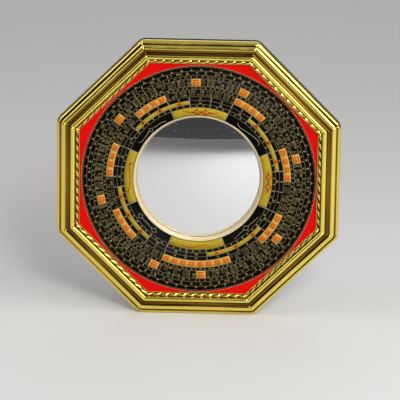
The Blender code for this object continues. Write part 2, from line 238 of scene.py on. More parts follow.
# A finish that only its grain breaks up: its two tones, the ends of its roughness, the
# grain's scale, low and high, the bump's distance and strength, and the tone of painted shade
# where the mesh asks for it
def makeMottled(name, tones, roughness, mottle, relief, gloss=0.5, metallic=0.0, stretch=(1, 1, 1), shadeTone=None):
    material, tree = newFinish(name, tones[0], roughness[0], metallic)
    feed(tree, "Specular IOR Level", gloss)
    mask, height = addGrain(tree, objectPlace(tree, stretch), *mottle)
    colour = mixColours(tree, mask, *tones)
    # painted shade where the mesh's shade attribute is set
    if shadeTone:
        colour = mixColours(tree, paintedShadeValue(tree), colour, shadeTone)
    feed(tree, "Base Color", colour)
    if roughness[0] != roughness[1]:
        feed(tree, "Roughness", spreadValue(tree, mask, *roughness))
    addBump(tree, height, *relief)
    return material


# What the sheet and the inks share
paper = {"mottle": (700, 0.3, 0.7), "relief": (0.00002, 0.3), "smoother": 0.06, "rougher": 0.08}


def makeInk(name, colour, roughness, wear, gloss):
    worn = tuple(part * wear for part in colour)
    return makeMottled(name, (colour, worn), (roughness - paper["smoother"], roughness + paper["rougher"]),
                       paper["mottle"], paper["relief"], gloss)


# The sheet under the print: red in its corners, black within the dial's round and its hole
sheet = {"red": (0.68, 0.003, 0.001), "worn": (0.58, 0.002, 0.001), "black": (0.0022, 0.0021, 0.0016),
         "roundRadius": 0.100, "roughness": 0.36, "gloss": 0.07}


def makeDialSheet():
    material, tree = newFinish("redSheet", sheet["red"], sheet["roughness"])
    feed(tree, "Specular IOR Level", sheet["gloss"])
    place = objectPlace(tree)
    mask, height = addGrain(tree, place, *paper["mottle"])
    reds = mixColours(tree, mask, sheet["red"], sheet["worn"])
    reach = newNode(tree, "VectorMath", {0: place, 1: faceMiddle}, operation="DISTANCE").outputs["Value"]
    inside = addMath(tree, "LESS_THAN", reach, sheet["roundRadius"])
    feed(tree, "Base Color", mixColours(tree, inside, reds, sheet["black"]))
    addBump(tree, height, *paper["relief"])
    return material


# The mirror's silver, with a faint haze and specks of dust
silvering = {"bright": (0.90, 0.91, 0.92), "dust": (0.62, 0.61, 0.58), "dustSpecks": (420, 0.12, 0.25),
             "dustDull": 0.4, "haze": (30, 0.45, 0.75), "roughness": (0.012, 0.035)}


def makeSilvering():
    material, tree = newFinish("silvering", silvering["bright"], silvering["roughness"][0], 1.0)
    place = objectPlace(tree)
    dust = addSpecks(tree, place, *silvering["dustSpecks"])
    haze = addGrain(tree, place, *silvering["haze"])[0]
    soft = spreadValue(tree, haze, *silvering["roughness"])
    feed(tree, "Base Color", mixColours(tree, dust, silvering["bright"], silvering["dust"]))
    feed(tree, "Roughness", addMath(tree, "MULTIPLY_ADD", dust, silvering["dustDull"], soft))
    return material


# Hardboard: pressed fibres in clouds of lighter and darker pulp, with the weave of the wire
# screen that it was pressed on
hardboard = {
    "light": (0.50, 0.33, 0.18), "dark": (0.30, 0.18, 0.085), "cloud": (0.34, 0.21, 0.10),
    "fleck": (0.60, 0.46, 0.30), "fibreStretch": (1, 1, 4), "fibres": (700, 0.3, 0.7),
    "clouds": (22, 0.35, 0.65), "cloudDepth": 0.6, "flecks": (900, 0.2, 0.06),
    "roughness": (0.62, 0.9), "weaveScale": 210, "weaveDepth": 0.35, "relief": (0.0002, 0.5),
}


def makeFibreboard():
    material, tree = newFinish("fibreboard", hardboard["light"], hardboard["roughness"][1])
    place = objectPlace(tree)
    fibres, height = addGrain(tree, objectPlace(tree, hardboard["fibreStretch"]), *hardboard["fibres"])
    clouds = addGrain(tree, place, *hardboard["clouds"])[0]
    base = mixColours(tree, fibres, hardboard["light"], hardboard["dark"])
    tint = mixColours(tree, spreadValue(tree, clouds, 0, hardboard["cloudDepth"]), base, hardboard["cloud"])
    flecks = addSpecks(tree, place, *hardboard["flecks"])
    feed(tree, "Base Color", mixColours(tree, flecks, tint, hardboard["fleck"]))
    feed(tree, "Roughness", spreadValue(tree, fibres, *hardboard["roughness"]))
    for direction in ("X", "Z"):
        weave = newNode(tree, "TexWave", {"Vector": place, "Scale": hardboard["weaveScale"]},
                        bands_direction=direction)
        height = addMath(tree, "MULTIPLY_ADD", weave.outputs["Fac"], hardboard["weaveDepth"], height)
    addBump(tree, height, *hardboard["relief"])
    return material


# Inks by colour, roughness, the share of the colour that is left where worn, and gloss
inks = {
    "black": ((0.0022, 0.0021, 0.0016), 0.42, 0.7, 0.05),
    "khaki": ((0.36, 0.29, 0.11), 0.45, 0.82, 0.12),
    "olive": ((0.19, 0.145, 0.05), 0.45, 0.82, 0.12),
    "line": ((0.34, 0.27, 0.13), 0.45, 0.82, 0.12),
    "pale": ((0.41, 0.38, 0.28), 0.45, 0.82, 0.12),
    "salmon": ((0.48, 0.23, 0.12), 0.42, 0.82, 0.12),
    "yellow": ((0.42, 0.30, 0.016), 0.38, 0.86, 0.12),
    "orange": ((0.64, 0.28, 0.032), 0.40, 0.9, 0.12),
    "amber": ((0.61, 0.41, 0.085), 0.40, 0.9, 0.12),
    "vermilion": ((0.66, 0.085, 0.006), 0.40, 0.88, 0.12),
    "tan": ((0.56, 0.15, 0.02), 0.40, 0.9, 0.12),
    "rust": ((0.42, 0.082, 0.004), 0.40, 0.88, 0.12),
}
# What the two platings share, with the painted shade on the floor of a screw's slot
plated = {"mottle": (900, 0.3, 0.7), "relief": (0.00003, 0.3), "metallic": 1.0, "shadeTone": (0.05, 0.045, 0.04)}

finishes = {
    "gilt": makeGilt(),
    # the moulding's back takes its shade tone as painted shade at the mitre ends
    "rawBack": makeMottled("mouldingBack", ((0.50, 0.33, 0.14), (0.38, 0.24, 0.10)), (0.6, 0.6),
                           (500, 0.35, 0.65), (0.0001, 0.3), shadeTone=(0.06, 0.035, 0.015)),
    "red": makeDialSheet(),
    "silver": makeSilvering(),
    "cream": makeMottled("creamPlastic", ((0.70, 0.565, 0.345), (0.60, 0.47, 0.26)), (0.2, 0.36),
                         (120, 0.35, 0.7), (0.00005, 0.2)),
    "board": makeFibreboard(),
    "steel": makeMottled("zincPlate", ((0.62, 0.62, 0.63), (0.50, 0.50, 0.52)), (0.24, 0.44),
                         stretch=(1, 1, 8), **plated),
    "brass": makeMottled("brassPlate", ((0.70, 0.50, 0.19), (0.55, 0.37, 0.12)), (0.20, 0.40),
                         stretch=(1, 1, 6), **plated),
    "foam": makeMottled("foamTape", ((0.82, 0.82, 0.79), (0.6, 0.6, 0.58)), (0.9, 0.9),
                        (1800, 0.3, 0.6), (0.0001, 0.6)),
}
for ink, values in inks.items():
    finishes[ink] = makeInk(ink + "Ink", *values)
print("finishes ready")

# The moulding's members from the outside in: width, the rise of the inner edge above the
# rebate, bulge and steps, then the painted shade all over it and in the groove at its inner edge
moulding = {
    "members": (
        (3.0, 1.6, 0.8, 8, 0.0, 0.7),
        (0.8, 1.5, -0.4, 4, 0.6, 0.7),
        (4.2, 3.1, 0.8, 12, 0.0, 0.6),
        (4.3, 4.7, -1.2, 12, 0.82, 0.95),
        (4.1, 3.7, 1.45, 16, 0.0, 0.7),
        (0.3, 2.7, 0.02, 1, 1.0, 1.0),
        (2.7, 1.5, 1.2, 16, 0.0, 0.9),
    ),
    "ropeMember": 6, "ropePitch": 7.75, "ropeSlant": 0.75, "ropeDepth": 1.1, "ropeRound": 0.8,
    # the rope's painted shade between its lobes: at a gap, what a lobe takes off, and the most
    "ropeEnds": 0.6, "ropeLean": (0.2, 0.85), "ropeGapShade": (1.35, 1.8, 0.75), "ropeInset": 16.5,
    "sightWidth": 0.8, "sightEdge": (0.25, 0.3), "rebate": 12.5, "rebateWidth": 5.2,
    "sideBevel": 1.8, "sideLow": 3.5, "sideDrop": 2.0, "backRelief": 0.08,
    "cornerRadius": 9.0, "mitreGap": 0.16, "mitreDip": 0.25, "stations": 180,
    # the share by which the painted shade eases at mid-length
    "sink": 0.09, "sinkPitch": 61, "midShadeEase": 0.2,
}


# Points along an arc from start to end that stands bulge proud of the straight line
def bulgedArc(start, end, bulge, steps):
    run = Vector(end) - Vector(start)
    half = run.length / 2
    radius = (half ** 2 + bulge ** 2) / (2 * abs(bulge))
    side = Vector((-run.y, run.x)).normalized() * copysign(1, bulge)
    middle = Vector(start) + run / 2 - side * (radius - abs(bulge))
    reach = 2 * asin(min(1, half / radius)) * copysign(1, bulge)
    arm = Vector(start) - middle
    return [middle + Matrix.Rotation(-reach * step / steps, 2) @ arm for step in range(1, steps + 1)]


# The section as (inset, height, rope share, painted shade), the rope share running 0 to 1 over the rope
def railSection():
    side = moulding["rebate"] - moulding["sideDrop"]
    back = moulding["backRelief"]
    section = [(moulding["sideBevel"], back, -1, 0), (0, moulding["sideLow"], -1, 0), (0, side, -1, 0)]
    inset = 0
    for index, (width, rise, bulge, steps, recessShade, groove) in enumerate(moulding["members"]):
        start = section[-1][:2]
        inset += width
        for step, point in enumerate(bulgedArc(start, (inset, moulding["rebate"] + rise), bulge, steps)):
            share = (step + 1) / steps
            rope = share if index == moulding["ropeMember"] else -1
            # painted shade in the crease at the member's inner edge
            grooved = groove * (share * 4 - 3)    # in the last quarter of the member
            section.append((point.x, point.y, rope, max(recessShade, grooved)))
    inset += moulding["sightWidth"]
    top, foot = section[-1][1], inset - moulding["rebateWidth"]
    across, down = moulding["sightEdge"]
    for corner in ((inset - across, top), (inset, top - down), (inset, moulding["rebate"]),
                   (foot, moulding["rebate"]), (foot, back)):
        section.append((*corner, -1, 0))
    return section


# Where a point of the rail lies: straight along the side, then round the eased corner
def roundCorner(along, inset):
    radius = moulding["cornerRadius"] - inset
    share, sign = abs(along), copysign(1, along)
    gap = moulding["mitreGap"] / 2
    if radius <= 0:
        return along * ((apothem - inset) * tan(turn / 2) - gap), apothem - inset
    straight = (apothem - moulding["cornerRadius"]) * tan(turn / 2)
    distance = share * (straight + radius * turn / 2 - gap)
    if distance <= straight:
        return sign * distance, apothem - inset
    angle = (distance - straight) / radius
    return (sign * (straight + radius * sin(angle)),
            apothem - moulding["cornerRadius"] + radius * cos(angle))


def makeRail(node, side):
    bm = bmesh.new()
    uvLayer = bm.loops.layers.uv.new("along")
    ropeLayer = bm.verts.layers.float.new("rope")
    shadeLayer = bm.verts.layers.float.new("paintedShade")
    section = railSection()
    verts = []
    for inset, height, rope, recessShade in section:
        vert = bm.verts.new((-1, inset, height))
        vert[ropeLayer] = rope
        vert[shadeLayer] = recessShade
        verts.append(vert)
    face = bm.faces.new(verts)
    stations = moulding["stations"]
    bmesh.ops.spin(bm, geom=[face, *face.edges, *verts], cent=(0, 0, 0), axis=(1, 0, 0),
                   dvec=(2 / stations, 0, 0), angle=0, steps=stations, use_duplicate=False)
    bmesh.ops.recalc_face_normals(bm, faces=bm.faces)
    for part in bm.faces:
        onBack = all(vert.co.z < moulding["backRelief"] * 1.5 for vert in part.verts)
        part.material_index = 1 if onBack else 0
        for loop in part.loops:
            point = loop.vert.co
            loop[uvLayer].uv = (point.x * apothem * tan(turn / 2) * unit, (point.y + point.z) * unit)
    lastStation = 1 - 1.5 / stations    # only the two end sections lie past it
    lean, deep = moulding["ropeLean"]
    gapShade, lobeLift, most = moulding["ropeGapShade"]
    for vert in bm.verts:
        share, inset, height = vert.co
        rope = vert[ropeLayer]
        x, y = roundCorner(share, inset)
        if rope > 0:
            phase = x / moulding["ropePitch"] + (rope - 0.5) * moulding["ropeSlant"]
            lobe = abs(sin(pi * phase)) ** moulding["ropeRound"]
            hollow = (1 - lobe) * moulding["ropeDepth"] * sin(pi * rope) ** moulding["ropeEnds"]
            height -= hollow * deep
            y += hollow * lean
            # painted shade between the rope's lobes, darkest in the gaps
            vert[shadeLayer] = max(vert[shadeLayer], min(most, max(0, gapShade - lobeLift * lobe)))
        vert[shadeLayer] *= 1 - moulding["midShadeEase"] * cos(pi * share / 2) ** 2    # the painted shade eases at mid-length
        if abs(share) > lastStation and height > moulding["sideLow"]:
            height -= moulding["mitreDip"]
        elif abs(share) > lastStation:
            # full painted shade at the mitre ends, below the side's low edge
            vert[shadeLayer] = 1
        if height > moulding["rebate"] and inset < moulding["ropeInset"]:
            height -= moulding["sink"] * (1 - cos(2 * pi * x / moulding["sinkPitch"] + inset + side)) / 2
        vert.co = (x, y, height)
    bmesh.ops.rotate(bm, verts=bm.verts, cent=(0, 0, 0), matrix=Matrix.Rotation(-turn * side, 3, "Z"))
    newPiece("gilt_" + node, bm, [finishes["gilt"], finishes["rawBack"]], 40, [node])


railNodes = ("rail_top", "rail_top_right", "rail_right", "rail_bottom_right",
             "rail_bottom", "rail_bottom_left", "rail_left", "rail_top_left")
for index, node in enumerate(railNodes):
    makeRail(node, index)
print("eight lengths of moulding")

# The print. Its marks are laid out as a strip, x in degrees clockwise from the top and
# y the radius in millimetres, and the strip is bent round the dial. The print is a little
# off centre towards its rim, and turned by part of a degree.
dial = {
    "offset": (0.45, -0.7), "turned": 0.6, "holeRadius": 57.9, "rim": 103.9, "rimWidth": 0.32,
    "blackTop": 0.04, "fieldTop": 0.07, "lineTop": 0.08, "paleTop": 0.09, "markTop": 0.10, "thick": 0.03,
}


def bendRound(bm, top):
    bmesh.ops.remove_doubles(bm, verts=bm.verts, dist=1e-6)
    spread = dial["rim"] - dial["holeRadius"]
    for vert in bm.verts:
        angle = radians(vert.co.x + dial["turned"])
        radius = vert.co.y
        share = min(1, max(0, (radius - dial["holeRadius"]) / spread))
        vert.co = (radius * sin(angle) + dial["offset"][0] * share,
                   radius * cos(angle) + dial["offset"][1] * share, dialFace + top)
    bmesh.ops.remove_doubles(bm, verts=bm.verts, dist=1e-4)
    for face in bm.faces:
        face.normal_update()
    wrong = [face for face in bm.faces if face.normal.z < 0]
    bmesh.ops.reverse_faces(bm, faces=wrong)


def printInk(name, bm, ink, top):
    bendRound(bm, dial[top])
    piece = newPiece(name, bm, [finishes[ink]], 30)
    skin = piece.modifiers.new("thickness", "SOLIDIFY")
    skin.thickness = dial["thick"] * unit
    skin.offset = -1


# One flat mark: width along the ring and height across it in millimetres
def addMark(bm, angle, radius, width, height, tilt=0.0, cuts=1):
    where = Matrix.Translation((angle, radius, 0))
    where = where @ Matrix.Diagonal((degrees(1) / radius, 1, 1, 1))
    where = where @ Matrix.Rotation(radians(tilt), 4, "Z") @ Matrix.Diagonal((width, height, 1, 1))
    bmesh.ops.create_grid(bm, x_segments=cuts, y_segments=1, size=0.5, matrix=where)


# A stretch of a ring between two angles and two radii
def addBand(bm, first, last, inner, outer):
    cuts = max(1, round((last - first) / 2.5))
    middle = Matrix.Translation(((first + last) / 2, (inner + outer) / 2, 0))
    size = Matrix.Diagonal((last - first, outer - inner, 1, 1))
    bmesh.ops.create_grid(bm, x_segments=cuts, y_segments=1, size=0.5, matrix=middle @ size)


def addDot(bm, angle, radius, across, high, corners=10):
    where = Matrix.Translation((angle, radius, 0)) @ Matrix.Diagonal((degrees(1) / radius, 1, 1, 1))
    where = where @ Matrix.Diagonal((across / 2, high / 2, 1, 1))
    bmesh.ops.create_circle(bm, cap_ends=True, segments=corners, radius=1, matrix=where)


# A drawn line through points given in millimetres about a place on the ring
def addStroke(bm, angle, radius, points, width):
    path = [Vector(point) for point in points]
    last = len(path) - 1
    grid = bmesh.ops.create_grid(bm, x_segments=last, y_segments=1, size=0.5)["verts"]
    for vert in grid:
        index = round((vert.co.x + 0.5) * last)
        along = path[min(index + 1, last)] - path[max(index - 1, 0)]
        across = Vector((-along.y, along.x)).normalized() * width * vert.co.y
        point = path[index] + across
        vert.co = (angle + degrees(point.x / radius), radius + point.y, 0)


# The same mark again and again at even steps round the ring
def addMarksRound(bm, count, first, radius, width, height):
    one = bmesh.new()
    addMark(one, first, radius, width, height)
    bmesh.ops.spin(one, geom=[*one.verts, *one.edges, *one.faces], cent=(0, 0, 0), axis=(0, 0, 1),
                   dvec=(360 / count, 0, 0), angle=0, steps=count - 1, use_duplicate=True)
    mesh = bpy.data.meshes.new("marks")
    one.to_mesh(mesh)
    one.free()
    bm.from_mesh(mesh)
    bpy.data.meshes.remove(mesh)


# Three bars one above the other, each whole or broken, as the number's bits say
def addBars(bm, number, angle, radius, width, pitch, bar, gap=0.24):
    for row in (-1, 0, 1):
        place = radius + row * pitch
        if number >> (row + 1) & 1:
            addMark(bm, angle, place, width, bar)
        else:
            piece = width * (1 - gap) / 2
            shift = degrees((width - piece) / 2 / place)
            addMark(bm, angle - shift, place, piece, bar)
            addMark(bm, angle + shift, place, piece, bar)


# The rings of the dial. Rows are radii, fields are a width and a height or the radii that
# they run between, marks repeat as (count, first angle, radius, width, height), and a tab
# is (outer width, inner width, height, radius at which the widths are true).
rings = {
    "lines": (98.8, 94.9, 91.8, 84.7, 81.9, 75.3, 71.9, 68.3, 65.5), "lineWidth": 0.2,
    "cells": 64, "cell": 5.625, "houses": 24, "house": 15.0,
    "tabRow": 99.8, "signRow": 96.85, "crowdedRow": 93.35, "wideRow": 88.25, "thinRow": 83.3,
    "barRow": 78.6, "innerRow": 73.6, "arcRow": 70.1, "dotRow": 66.9,
    "walls": ((64, 0, 88.25, 0.2, 7.1), (64, 0, 78.6, 0.2, 6.6), (24, 7.5, 95.3, 0.2, 7.0)),
    "teeth": ((360, 0, 102.9, 0.5, 1.3), (72, 0, 102.5, 0.5, 2.0)),
    "paleLines": ((24, 7.5, 70.4, 0.3, 9.8), (8, 22.5, 61.6, 0.5, 7.4)),
    "tab": (1.0, 2.5, 0.9, 100), "figureLine": 0.42, "crossLine": 0.4,
    "singles": (-1, 4, 13, 22, 31, 36, 45, 54), "singleField": (7.0, 5.7), "singleBorder": (8.3, 6.7),
    "groups": ((-45, -22.5), (22.5, 45), (67.5, 90), (112.5, 135), (157.5, 202.5), (225, 247.5),
               (270, 292.5)), "groupField": (6.6, 5.1), "groupBorder": (75.6, 81.6),
    "arcs": ((-52.5, -7.5), (37.5, 82.5), (127.5, 172.5), (217.5, 262.5)), "arcField": (68.5, 71.7),
    "sectorHalf": 22.1, "sectorField": 65.2,
}


def inSpans(angle, spans):
    return any(first < (angle - first) % 360 + first < last for first, last in spans)


def drawFields():
    cell, middle = rings["cell"], rings["wideRow"]
    black, rim, orange, yellow, border = (bmesh.new() for count in range(5))
    addBand(black, 0, 360, dial["holeRadius"], dial["rim"] - dial["rimWidth"])
    addBand(rim, 0, 360, dial["rim"] - dial["rimWidth"], dial["rim"])
    for index in rings["singles"]:
        addMark(orange, cell * (index + 0.5), middle, *rings["singleField"], cuts=3)
        addMark(border, cell * (index + 0.5), middle, *rings["singleBorder"], cuts=3)
    for first, last in rings["groups"]:
        addBand(border, first, last, *rings["groupBorder"])
        for index in range(round((last - first) / cell)):
            addMark(orange, first + cell * (index + 0.5), rings["barRow"], *rings["groupField"], cuts=3)
    for first, last in rings["arcs"]:
        addBand(yellow, first, last, *rings["arcField"])
    for index in range(0, sides, 2):
        angle = degrees(turn) * index
        addBand(yellow, angle - rings["sectorHalf"], angle + rings["sectorHalf"], dial["holeRadius"],
                rings["sectorField"])
    printInk("dial_black", black, "black", "blackTop")
    printInk("dial_rim", rim, "salmon", "lineTop")
    printInk("dial_cell_borders", border, "amber", "fieldTop")
    printInk("dial_orange", orange, "orange", "lineTop")
    printInk("dial_yellow", yellow, "yellow", "fieldTop")


def drawRulings():
    lines, teeth = bmesh.new(), bmesh.new()
    for radius in rings["lines"]:
        addBand(lines, 0, 360, radius - rings["lineWidth"] / 2, radius + rings["lineWidth"] / 2)
    for marks in rings["teeth"]:
        addMarksRound(teeth, *marks)
    for marks in rings["walls"]:
        addMarksRound(lines, *marks)
    printInk("dial_rulings", lines, "line", "lineTop")
    printInk("dial_teeth", teeth, "salmon", "lineTop")


# Small figures for the narrow rows: 0 a chevron, 1 a pair of bars, 2 a cross, 3 a lens and
# 4 three strokes
def addFigure(bm, kind, angle, radius, size):
    half, line = size / 2, rings["figureLine"]
    if kind == 0:
        addStroke(bm, angle, radius, [(-half, half), (0, -half), (half, half)], line)
    elif kind == 1:
        addMark(bm, angle, radius + half * 0.55, size * 1.1, line)
        addMark(bm, angle, radius - half * 0.55, size * 0.8, line)
    elif kind == 2:
        addMark(bm, angle, radius, size * 1.2, rings["crossLine"], 40)
        addMark(bm, angle, radius, size * 1.2, rings["crossLine"], -40)
    elif kind == 3:
        addDot(bm, angle, radius, size * 0.7, size)
    else:
        for step in (-1, 0, 1):
            addMark(bm, angle + degrees(step * 0.9 / radius), radius, line, size * (1 - 0.3 * abs(step)))


def drawSmallRows(dice):
    bm = bmesh.new()
    narrow, wide, high, reach = rings["tab"]
    for index in range(72):
        angle = 5 * index
        tab = bmesh.ops.create_grid(bm, x_segments=1, y_segments=1, size=0.5)["verts"]
        for vert in tab:
            width = narrow if vert.co.y > 0 else wide
            vert.co = (angle + degrees(vert.co.x * width / reach), rings["tabRow"] + vert.co.y * high, 0)
        addFigure(bm, dice.randrange(5), angle + 2.0 + dice.random(), rings["signRow"], 2.0)
        if dice.random() < 0.35:
            addFigure(bm, dice.randrange(5), angle + 4.2, rings["signRow"], 1.5)
    for index in range(120):
        addFigure(bm, dice.choice((1, 2, 3, 4)), 3 * index + dice.random(), rings["crowdedRow"], 1.3)
    cell, thinRow = rings["cell"], rings["thinRow"]
    for index in range(rings["cells"]):
        addFigure(bm, dice.randrange(5), cell * (index + 0.5), thinRow, 1.4)
        addFigure(bm, dice.choice((1, 2, 4)), cell * (index + 0.1 * dice.random()), thinRow, 1.1)
    for index in range(48):
        addFigure(bm, dice.randrange(5), 7.5 * index, rings["innerRow"], 1.8 if index % 2 == 0 else 1.1)
    for index in range(72):
        addFigure(bm, dice.choice((1, 2, 3)), 5 * index + 2.5, rings["dotRow"], 1.5)
    for index in range(rings["houses"]):
        angle = rings["house"] * index
        if not inSpans(angle, rings["arcs"]):
            addFigure(bm, dice.choice((0, 2)), angle, rings["arcRow"], 1.9)
            addMark(bm, angle, rings["arcRow"] - 1.1, 3.2, 0.34)
    printInk("dial_small_figures", bm, "khaki", "lineTop")


# The two wide rings: columns of bars in the dark cells, and red bars in the orange ones, as
# a width, a pitch, a height and the gap of the broken ones
bars = {
    "wideCell": {"places": (90.5, 88.2, 85.9), "widths": (1.9, 2.3, 2.8), "pitch": 0.64},
    "barCell": {"places": (80.0, 77.2), "widths": (1.6, 2.1, 2.5), "pitch": 0.74},
    "bar": 0.3, "bareShare": 0.1, "khakiShare": 0.55,
    "single": (5.2, 2.1, 1.2), "group": (4.3, 1.45, 1.1, 0.16),
}


def drawBars(dice):
    khaki, olive, vermilion = bmesh.new(), bmesh.new(), bmesh.new()
    cell = rings["cell"]

    def fillCell(middle, block):
        for place in block["places"]:
            for angle in (middle - cell / 4, middle + cell / 4):
                if dice.random() > bars["bareShare"]:
                    ink = khaki if dice.random() < bars["khakiShare"] else olive
                    number, width = dice.randrange(8), dice.choice(block["widths"])
                    addBars(ink, number, angle, place, width, block["pitch"], bars["bar"])

    for index in range(rings["cells"]):
        middle = cell * (index + 0.5)
        if inSpans(middle, rings["groups"]):
            addBars(vermilion, index % 8, middle, rings["barRow"], *bars["group"])
        else:
            fillCell(middle, bars["barCell"])
        if (index + 1) % rings["cells"] - 1 in rings["singles"]:
            addBars(vermilion, 7, middle, rings["wideRow"], *bars["single"])
        else:
            fillCell(middle, bars["wideCell"])
    printInk("dial_bars", khaki, "khaki", "lineTop")
    printInk("dial_dark_bars", olive, "olive", "lineTop")
    printInk("dial_red_bars", vermilion, "vermilion", "markTop")


def drawPaleLines():
    bm = bmesh.new()
    for marks in rings["paleLines"]:
        addMarksRound(bm, *marks)
    printInk("dial_pale_lines", bm, "pale", "paleTop")


# The figures of the eight inner sectors, in millimetres about each sector's middle
stars = {"radius": 61.9, "bold": 0.95, "firm": 0.8, "fine": 0.34, "thin": 0.32, "cornerKnot": 2.0,
         "chainKnot": 2.2, "fill": 1.4}


def addKnot(bm, angle, point, across):
    x, y = point
    addDot(bm, angle + degrees(x / stars["radius"]), stars["radius"] + y, across, across, 8)


def addDiamond(bm, angle, middle, half, width, fill=None):
    (x, y), (wide, high) = middle, half
    corners = [(x - wide, y), (x, y + high), (x + wide, y), (x, y - high), (x - wide, y)]
    for ends in zip(corners, corners[1:]):
        addStroke(bm, angle, stars["radius"], ends, width)
    for corner in corners[:4]:
        addKnot(bm, angle, corner, width * stars["cornerKnot"])
    if fill:
        place = angle + degrees(x / stars["radius"])
        addDot(fill, place, stars["radius"] + y, wide * stars["fill"], high * stars["fill"], 4)


# A line with a small round knot at some of its points
def addChain(bm, angle, points, width, knots=()):
    addStroke(bm, angle, stars["radius"], points, width)
    for knot in knots:
        addKnot(bm, angle, points[knot], width * stars["chainKnot"])


def drawStars():
    rust, red, pale, filled = (bmesh.new() for count in range(4))
    bold, firm, fine, thin = stars["bold"], stars["firm"], stars["fine"], stars["thin"]
    for x in (-2.7, 4.9):
        addDiamond(rust, 0, (x, -0.9), (3.8, 2.3), firm, filled)
    addChain(rust, 0, [(-14.8, 1.4), (-12, 0.2), (-9, -0.5), (-6.4, -0.9)], bold)
    addChain(rust, 0, [(8.6, -0.9), (11, -0.6), (14, 0.2), (16.8, 1.3)], bold)
    for x in (-3.4, 5.4):
        addDiamond(rust, 90, (x, 0.3), (4.4, 2.3), firm, filled)
    for x in (-5.6, -1.2, 3.2, 7.6):
        addKnot(rust, 90, (x, 0.3), firm * stars["cornerKnot"])
    addChain(red, 180, [(-11.5, 2.1), (-10.4, 0.5), (-8.6, -0.4), (-6.4, -0.7), (-4.3, -0.6), (-1, 0.2),
                        (2.7, 1.1), (5.4, 1.8), (8.1, 2.0), (10.6, 1.6), (13, 0.3)], firm)
    addChain(red, 270, [(-13.5, 1.5), (-10.5, -0.3), (-6.7, -1.3), (0, -1.6), (6.5, -0.8), (11.5, 0.1),
                        (12.9, -1.2)], firm, (0, 2, 3, 4, 5, 6))
    addChain(pale, 45, [(-13.5, 0.6), (-12, -1), (-9.8, -1.9), (-8.1, -2.1), (-4, -1.3), (4.1, 0.4),
                        (8, 1.2), (11.5, 1.6), (13.4, 0.9), (14.2, -0.9)], fine, (5, 8))
    addDiamond(pale, 135, (0.3, -0.1), (2.9, 2.5), thin)
    addChain(pale, 135, [(-13.9, 1.6), (-5.7, 0.1), (-2.6, -0.1)], thin, (0, 1))
    addChain(pale, 135, [(3.2, -0.1), (5.1, 0.1), (13.9, 1.6)], thin, (1, 2))
    for x in (-7.5, 10.2):
        addDiamond(pale, 225, (x, -0.1), (2.7, 2.2), thin)
    addChain(pale, 225, [(-4.8, -0.4), (1.3, -0.8), (7.5, -0.4)], thin)
    addChain(pale, 315, [(-15.1, 0.2), (-13.5, -1.8), (-10, -2.0), (-6.7, -1.9), (-2.2, -0.9)], fine, (1, 3))
    addDiamond(pale, 315, (0.6, -0.9), (2.4, 1.8), thin)
    addChain(pale, 315, [(3.0, -0.9), (6.0, -1.4), (11.9, -1.2), (16.2, -2.2)], fine, (2, 3))
    printInk("dial_star_fill", filled, "tan", "paleTop")
    printInk("dial_rust_stars", rust, "rust", "markTop")
    printInk("dial_red_stars", red, "rust", "markTop")
    printInk("dial_pale_stars", pale, "pale", "paleTop")


# In each house of a yellow arc, a lens crossed by strokes, with a tick at either side
def drawArcMarks():
    marks, ticks = bmesh.new(), bmesh.new()
    row = rings["arcRow"]
    for first, last in rings["arcs"]:
        for index in range(3):
            middle = first + rings["house"] * (index + 0.5)
            addDot(marks, middle, row, 6.0, 1.5)
            addMark(marks, middle, row + 0.9, 3.6, 0.6)
            addMark(marks, middle, row - 0.8, 2.6, 0.5)
            addMark(marks, middle, row, 1.2, 2.8)
            for shift in (-4.5, 4.5):
                addMark(ticks, middle + shift, row, 0.3, 2.8)
    printInk("dial_arc_marks", marks, "vermilion", "markTop")
    printInk("dial_arc_ticks", ticks, "khaki", "markTop")


dice = random.Random(8)
drawFields()
drawRulings()
drawSmallRows(dice)
drawBars(dice)
drawPaleLines()
drawStars()
drawArcMarks()
print("the dial is printed")


# A body turned about the bench's z from a profile of radius and height
def turnProfile(profile, closed, steps):
    bm = bmesh.new()
    verts = [bm.verts.new((radius, 0, height)) for radius, height in profile]
    edges = [bm.edges.new(pair) for pair in zip(verts, verts[1:])]
    if closed:
        edges.append(bm.edges.new((verts[-1], verts[0])))
    bmesh.ops.spin(bm, geom=[*verts, *edges], cent=(0, 0, 0), axis=(0, 0, 1), dvec=(0, 0, 0),
                   angle=2 * pi, steps=steps, use_merge=True, use_duplicate=False)
    bmesh.ops.remove_doubles(bm, verts=bm.verts, dist=1e-4)
    bmesh.ops.recalc_face_normals(bm, faces=bm.faces)
    return bm


# The mirror is a shallow dome of one thickness with an eased rim
mirror = {"radius": 56.0, "curve": 275.0, "thick": 1.8, "rim": 6.2, "edge": 0.3, "edgeDrop": 0.05,
          "rings": 28, "steps": 160}


def domeHeight(radius, curve):
    return (curve ** 2 - radius ** 2) ** 0.5 - (curve ** 2 - mirror["radius"] ** 2) ** 0.5


def makeMirror():
    radii = [mirror["radius"] * step / mirror["rings"] for step in range(mirror["rings"] + 1)]
    profile = [(radius, mirror["rim"] + domeHeight(radius, mirror["curve"])) for radius in radii[:-1]]
    profile.append((mirror["radius"] - mirror["edge"], mirror["rim"] + mirror["edgeDrop"]))
    profile.append((mirror["radius"], mirror["rim"] - mirror["edge"]))
    low = mirror["rim"] - mirror["thick"]
    rear = mirror["curve"] - mirror["thick"]
    profile += [(radius, low + domeHeight(radius, rear)) for radius in reversed(radii)]
    newPiece("convex_mirror", turnProfile(profile, False, mirror["steps"]), [finishes["silver"]],
             40, ["mirror_glass"])


# The ring lies over the mirror's rim with a thin lip, and rises to a rounded crown
ring = {"outer": 57.5, "bore": 56.3, "lip": 55.1, "crown": 0.4, "round": 0.5, "low": 3.3, "gap": 0.3,
        "lipThick": 0.25, "lipSlope": (0.12, 0.42), "roundSteps": 10, "steps": 160}


